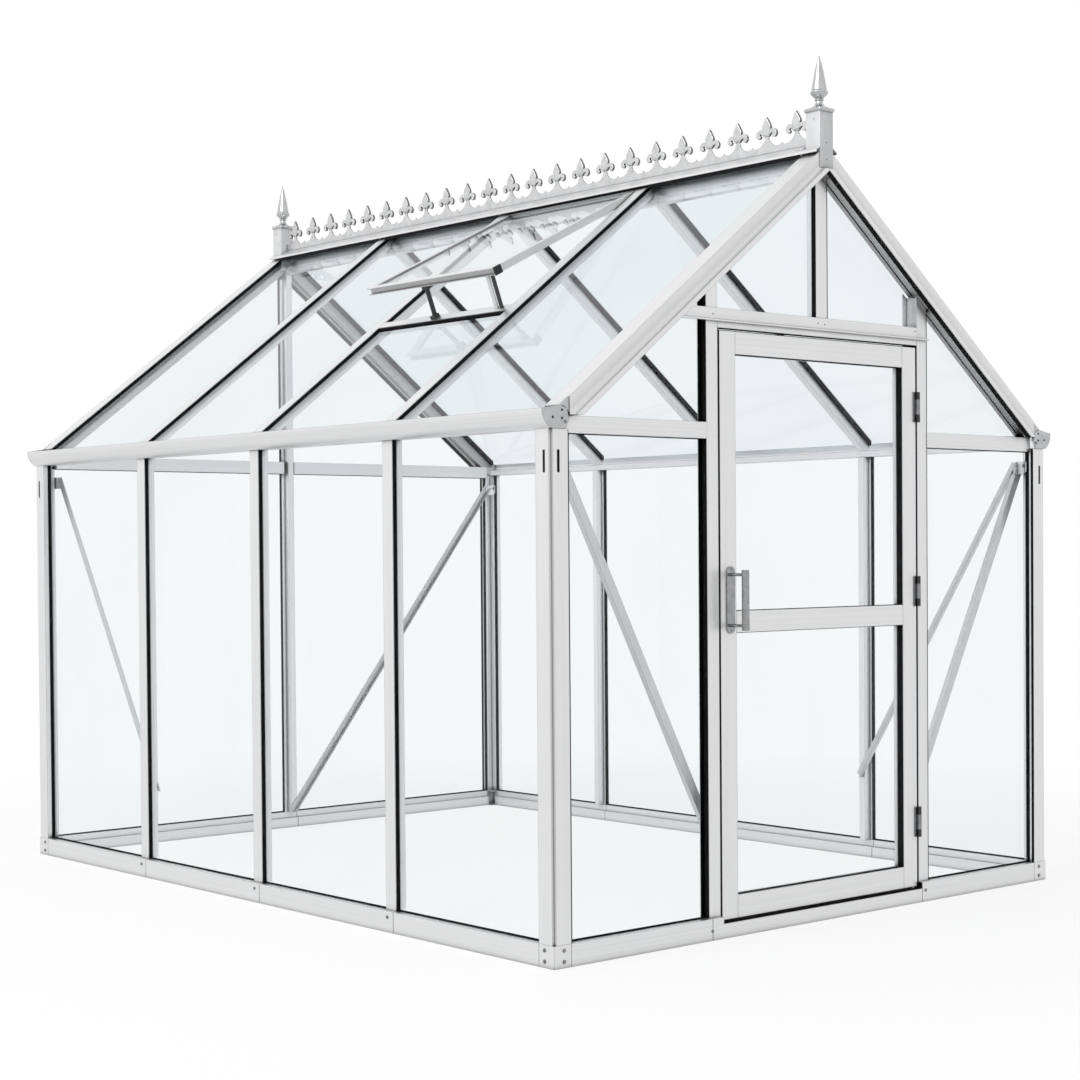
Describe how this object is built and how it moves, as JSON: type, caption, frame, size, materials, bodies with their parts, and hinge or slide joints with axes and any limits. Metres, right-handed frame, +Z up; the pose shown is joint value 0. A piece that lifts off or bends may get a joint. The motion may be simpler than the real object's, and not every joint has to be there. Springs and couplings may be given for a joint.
{
  "type": "greenhouse",
  "caption": "Pitched-roof glass greenhouse on an aluminium bar frame, with a hinged glazed door, an open roof vent, eaves gutters and a crested ridge with finials.",
  "frame": {"origin": "centre of the base rectangle on the ground", "axes": "+Z up; +Y along the ridge from the door gable to the back gable; +X across the gable, so the open vent is on the -X slope and the door hinges are on the +X jamb"},
  "size_m": [2.332, 3.091, 2.6829],
  "materials": {
    "aluminium": "mill-finish extruded aluminium, pale silver, fine die lines along each bar",
    "cast_aluminium": "pale silver cast aluminium, satin",
    "glass": "clear toughened sheet glass with a faint cool tint",
    "rubber": "matt black glazing rubber",
    "hinge_metal": "satin grey metal",
    "black_metal": "black coated metal, satin"
  },
  "bodies": {
    "frame": {"corner_feet": "aluminium", "base_side_rails": "aluminium", "base_gable_rails": "aluminium", "corner_posts": "aluminium", "side_mullions": "aluminium", "gutters": "aluminium", "gutter_end_plates": "cast_aluminium", "verges": "aluminium", "rafters": "aluminium", "ridge_beam": "aluminium", "ridge_cresting": "cast_aluminium", "finials": "cast_aluminium", "front_tie_rails": "aluminium", "back_tie_rails": "aluminium", "door_jambs": "aluminium", "door_header": "aluminium", "front_king_post": "aluminium", "back_mullion": "aluminium", "side_glass": "glass", "gable_glass": "glass", "roof_glass": "glass", "side_strips": "rubber", "gable_strips": "rubber", "roof_strips": "rubber", "vent_frame": "aluminium", "vent_glass": "glass", "vent_sill": "aluminium", "vent_head": "aluminium", "vent_opener": "black_metal", "vent_stay": "aluminium", "braces": "aluminium", "opening_seals": "rubber", "jamb_hinges": "hinge_metal"},
    "door": {"door_stiles": "aluminium", "door_rails": "aluminium", "door_glass": "glass", "door_seals": "rubber", "door_hinges": "hinge_metal", "door_handle": "hinge_metal"}
  },
  "joints": [
    {"name": "door_hinge", "type": "hinge", "parent": "frame", "child": "door", "pos_m": [0.459, -1.497, 1.015], "axis": [0, 0, 1], "range_deg": [0, 120]}
  ]
}
